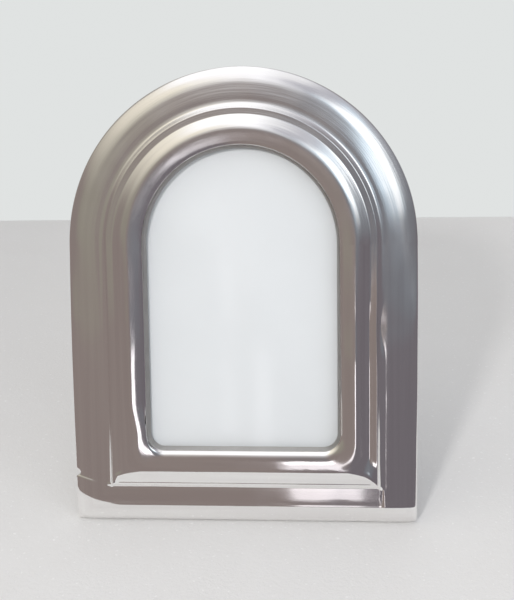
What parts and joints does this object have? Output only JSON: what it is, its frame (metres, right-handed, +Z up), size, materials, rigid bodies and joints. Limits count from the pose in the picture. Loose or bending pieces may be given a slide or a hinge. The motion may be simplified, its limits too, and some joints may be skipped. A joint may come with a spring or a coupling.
{
  "type": "photo frame",
  "caption": "Arch-topped standing photo frame: stepped cast metal moulding with a square foot, glazed picture opening, and an easel strut hinged to a cloth-covered back.",
  "frame": {"origin": "middle of the narrow flat land on which the front stands", "axes": "+Z up, +X to the viewer's right, -Y towards the viewer; the face leans back by 14 degrees towards +Y"},
  "size_m": [0.172, 0.0853, 0.2199],
  "materials": {
    "cast_aluminium": "hand polished",
    "clear_glass": "clear",
    "white_card": "matt",
    "grey_card": "matt",
    "fibreboard": "raw",
    "flock_cloth": "flocked",
    "hinge_steel": "zinc plated",
    "rivet_brass": "satin",
    "button_steel": "zinc plated"
  },
  "bodies": {
    "frame": {"front_casting": "cast_aluminium", "glass_pane": "clear_glass", "picture_card": "white_card", "filler_board": "grey_card", "back_board": "fibreboard", "back_cloth": "flock_cloth", "hinge_upper_leaf": "hinge_steel", "hinge_pin": "hinge_steel", "upper_leaf_rivets": "rivet_brass", "turn_button_screws": "button_steel"},
    "strut": {"strut_board": "fibreboard", "strut_cloth": "flock_cloth", "hinge_lower_leaf": "hinge_steel", "lower_leaf_rivets": "rivet_brass"},
    "turn_button_1": {"turn_button_1": "button_steel"},
    "turn_button_2": {"turn_button_2": "button_steel"},
    "turn_button_3": {"turn_button_3": "button_steel"},
    "turn_button_4": {"turn_button_4": "button_steel"}
  },
  "joints": [
    {"name": "strut_hinge", "type": "hinge", "parent": "frame", "child": "strut", "pos_m": [0, 0.04033, 0.14427], "axis": [1, 0, 0], "range_deg": [-28, 0]},
    {"name": "turn_button_1_pivot", "type": "hinge", "parent": "frame", "child": "turn_button_1", "pos_m": [-0.058, 0.01943, 0.07116], "axis": [0, 0.9703, -0.2419], "continuous": true},
    {"name": "turn_button_2_pivot", "type": "hinge", "parent": "frame", "child": "turn_button_2", "pos_m": [0.058, 0.01943, 0.07116], "axis": [0, 0.9703, -0.2419], "continuous": true},
    {"name": "turn_button_3_pivot", "type": "hinge", "parent": "frame", "child": "turn_button_3", "pos_m": [-0.058, 0.03491, 0.13326], "axis": [0, 0.9703, -0.2419], "continuous": true},
    {"name": "turn_button_4_pivot", "type": "hinge", "parent": "frame", "child": "turn_button_4", "pos_m": [0.058, 0.03491, 0.13326], "axis": [0, 0.9703, -0.2419], "continuous": true}
  ]
}
